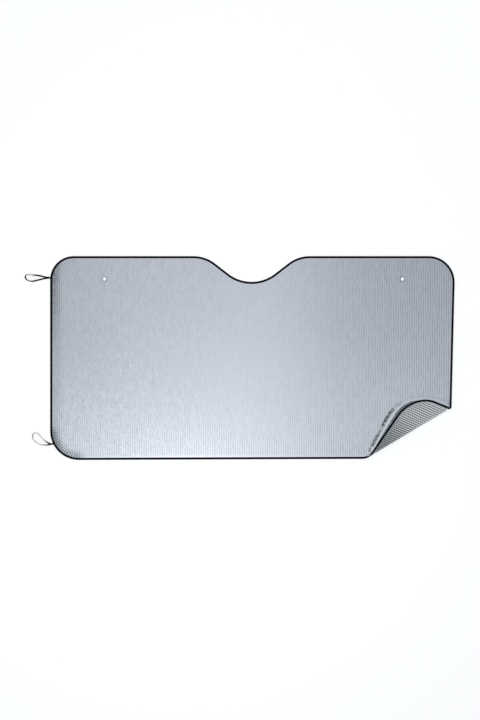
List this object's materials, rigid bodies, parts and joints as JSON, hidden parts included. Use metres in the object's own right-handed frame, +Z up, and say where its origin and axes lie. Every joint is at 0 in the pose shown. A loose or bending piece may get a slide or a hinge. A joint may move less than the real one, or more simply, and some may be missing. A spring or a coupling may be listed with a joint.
{
  "type": "car sunshade",
  "caption": "Thin rectangular windscreen shade of silver bubble foil edged in black tape, with a mirror notch, punched holes for suction cups, elastic side loops and a curled corner.",
  "frame": {"origin": "on the ground the shade lies on, under the middle of its width and height", "axes": "+X along the long side, away from the elastic loops, +Y towards the edge with the mirror notch, +Z up, out of the front face"},
  "size_m": [1.3886, 0.6586, 0.0689],
  "materials": {
    "foil": "satin foil over bubbles",
    "tape": "fine woven tape, matt",
    "elastic": "woven elastic, matt"
  },
  "bodies": {
    "root": {"foil_panel": "foil", "edge_binding": "tape", "upper_elastic_loop": "elastic", "lower_elastic_loop": "elastic"}
  },
  "joints": []
}
